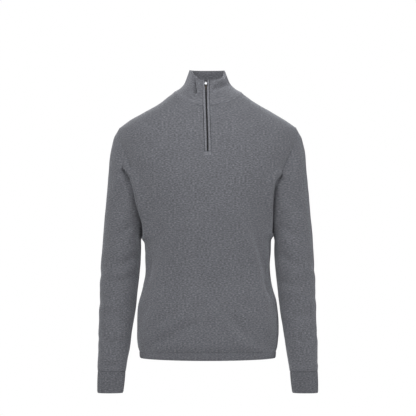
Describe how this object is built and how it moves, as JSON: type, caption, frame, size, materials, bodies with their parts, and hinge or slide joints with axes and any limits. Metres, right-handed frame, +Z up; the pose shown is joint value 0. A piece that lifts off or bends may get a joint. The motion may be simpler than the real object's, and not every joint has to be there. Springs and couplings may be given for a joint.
{
  "type": "quarter zip sweater",
  "caption": "Worn quarter zip sweater with a stand-up collar, long sleeves, ribbed hem and cuffs, hollow with nobody in it.",
  "frame": {"origin": "middle of the neck base, level with the points where the shoulders meet the collar", "axes": "+Z up, the front faces -Y, the wearer's left arm is at +X"},
  "size_m": [0.561, 0.2334, 0.8213],
  "materials": {
    "knit": "matt melange knit",
    "zip_tape": "matt woven tape",
    "zip_coil": "satin",
    "nickel": "polished",
    "gunmetal": "satin"
  },
  "bodies": {
    "garment": {"front": "knit", "back": "knit", "collar": "knit", "hem_band": "knit", "sleeve_left": "knit", "sleeve_right": "knit", "cuff_left": "knit", "cuff_right": "knit", "zip_binding_left": "knit", "zip_binding_right": "knit", "zip_tape_left": "zip_tape", "zip_tape_right": "zip_tape", "zip_chain": "zip_coil", "zip_foot_tack": "knit", "slider": "nickel"},
    "pull_tab": {"pull_tab": "gunmetal"}
  },
  "joints": [
    {"name": "pull_tab", "type": "hinge", "parent": "garment", "child": "pull_tab", "pos_m": [-0.00449, -0.06364, 0.02591], "axis": [-1, 0, 0], "range_deg": [0, 170]}
  ]
}
